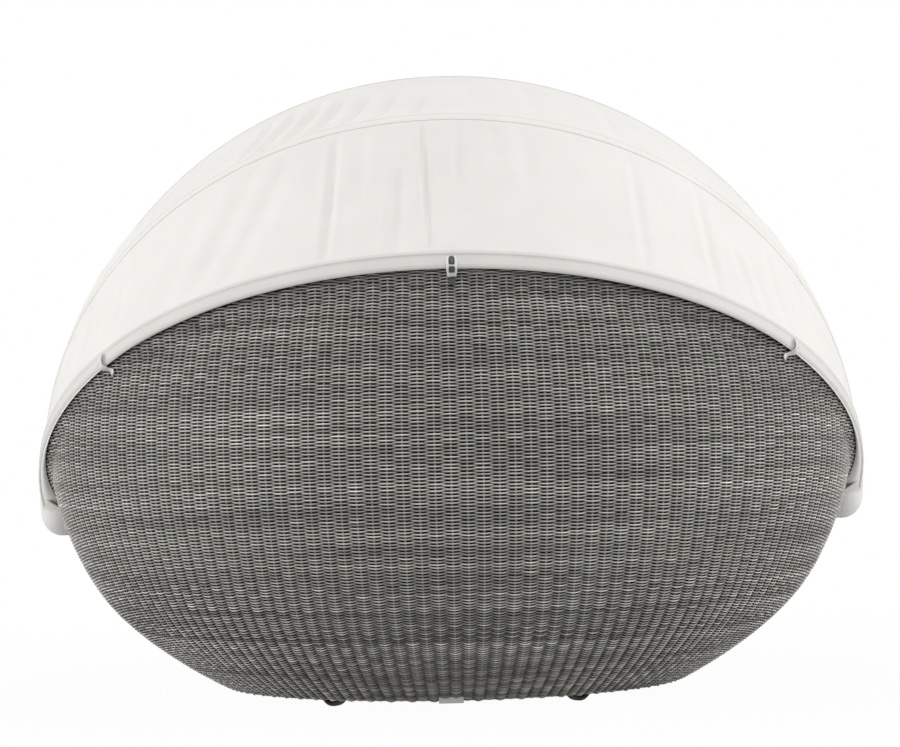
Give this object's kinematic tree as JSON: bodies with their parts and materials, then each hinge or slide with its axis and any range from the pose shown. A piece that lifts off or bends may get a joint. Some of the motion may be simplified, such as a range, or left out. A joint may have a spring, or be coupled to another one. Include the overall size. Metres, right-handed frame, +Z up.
{
  "type": "canopy daybed",
  "caption": "Egg-shaped woven daybed on castors, with a mattress, back cushions and a cloth canopy on nested bows that fold back.",
  "frame": {"origin": "on the floor, under the middle of the daybed's bounding box", "axes": "+Z up, -Y towards the open front that the sitter looks out of, +Y towards the high back, +X to the right as seen from the front"},
  "size_m": [1.7952, 1.4996, 1.32],
  "materials": {
    "weave": "round woven fibre, grey",
    "frame": "powder coated, dark grey",
    "slat": "oiled, weathered",
    "bow": "satin",
    "steel": "brushed",
    "tyre": "matt black",
    "hub": "matt black",
    "canopy_cloth": "plain woven outdoor cloth, off-white",
    "cushion_cloth": "plain woven outdoor cloth, off-white"
  },
  "bodies": {
    "bowl": {"woven_bowl": "weave", "rim_tube": "weave", "bottom_ring": "frame", "base_ring": "frame", "deck_ring": "frame", "frame_rib_1": "frame", "frame_rib_2": "frame", "frame_rib_3": "frame", "frame_rib_4": "frame", "frame_rib_5": "frame", "frame_rib_6": "frame", "frame_rib_7": "frame", "frame_rib_8": "frame", "deck_beam": "frame", "castor_bearer_front": "frame", "castor_bearer_rear": "frame", "deck_slat_1": "slat", "deck_slat_2": "slat", "deck_slat_3": "slat", "deck_slat_4": "slat", "deck_slat_5": "slat", "deck_slat_6": "slat", "castor_bracket_front_left": "steel", "castor_axle_front_left": "steel", "castor_bracket_front_right": "steel", "castor_axle_front_right": "steel", "castor_bracket_rear_left": "steel", "castor_axle_rear_left": "steel", "castor_bracket_rear_right": "steel", "castor_axle_rear_right": "steel", "rear_bow": "bow", "pivot_boss_left": "steel", "pivot_boss_right": "steel", "pivot_bolt_left": "steel", "pivot_bolt_right": "steel", "rim_hook_left": "steel", "rim_hook_centre": "steel", "rim_hook_right": "steel", "canopy_rear_panel": "canopy_cloth", "canopy_pocket_left": "canopy_cloth", "canopy_pocket_right": "canopy_cloth", "seat_mattress": "cushion_cloth", "back_cushion_left": "cushion_cloth", "back_cushion_centre": "cushion_cloth", "back_cushion_right": "cushion_cloth"},
    "bow_1": {"middle_bow_rear": "bow", "canopy_middle_panel": "canopy_cloth"},
    "bow_2": {"middle_bow_front": "bow"},
    "bow_3": {"front_bow": "bow", "canopy_front_panel": "canopy_cloth"},
    "castor_wheel_front_left": {"castor_hub_front_left": "hub", "castor_tyre_front_left": "tyre"},
    "castor_wheel_front_right": {"castor_hub_front_right": "hub", "castor_tyre_front_right": "tyre"},
    "castor_wheel_rear_left": {"castor_hub_rear_left": "hub", "castor_tyre_rear_left": "tyre"},
    "castor_wheel_rear_right": {"castor_hub_rear_right": "hub", "castor_tyre_rear_right": "tyre"}
  },
  "joints": [
    {"name": "middle_rear_bow_fold", "type": "hinge", "parent": "bowl", "child": "bow_1", "pos_m": [0, -0.10393, 0.4], "axis": [-1, 0, 0], "range_deg": [0, 22.8], "deforming": ["canopy_rear_panel"]},
    {"name": "middle_front_bow_fold", "type": "hinge", "parent": "bow_1", "child": "bow_2", "pos_m": [0, -0.10393, 0.4], "axis": [-1, 0, 0], "range_deg": [0, 22.8], "deforming": ["canopy_middle_panel"]},
    {"name": "front_bow_fold", "type": "hinge", "parent": "bow_2", "child": "bow_3", "pos_m": [0, -0.10393, 0.4], "axis": [-1, 0, 0], "range_deg": [0, 22.8], "deforming": ["canopy_front_panel"]},
    {"name": "castor_front_left_spin", "type": "hinge", "parent": "bowl", "child": "castor_wheel_front_left", "pos_m": [-0.24749, -0.30975, 0.03188], "axis": [-0.6429, -0.7659, 0], "continuous": true},
    {"name": "castor_front_right_spin", "type": "hinge", "parent": "bowl", "child": "castor_wheel_front_right", "pos_m": [0.24749, -0.30975, 0.03188], "axis": [0.6429, -0.7659, 0], "continuous": true},
    {"name": "castor_rear_left_spin", "type": "hinge", "parent": "bowl", "child": "castor_wheel_rear_left", "pos_m": [-0.24749, 0.27989, 0.03188], "axis": [-0.6429, 0.7659, 0], "continuous": true},
    {"name": "castor_rear_right_spin", "type": "hinge", "parent": "bowl", "child": "castor_wheel_rear_right", "pos_m": [0.24749, 0.27989, 0.03188], "axis": [0.6429, 0.7659, 0], "continuous": true}
  ],
  "couplings": [
    {"joint": "middle_front_bow_fold", "follows": "middle_rear_bow_fold", "ratio": 1},
    {"joint": "front_bow_fold", "follows": "middle_rear_bow_fold", "ratio": 1}
  ]
}
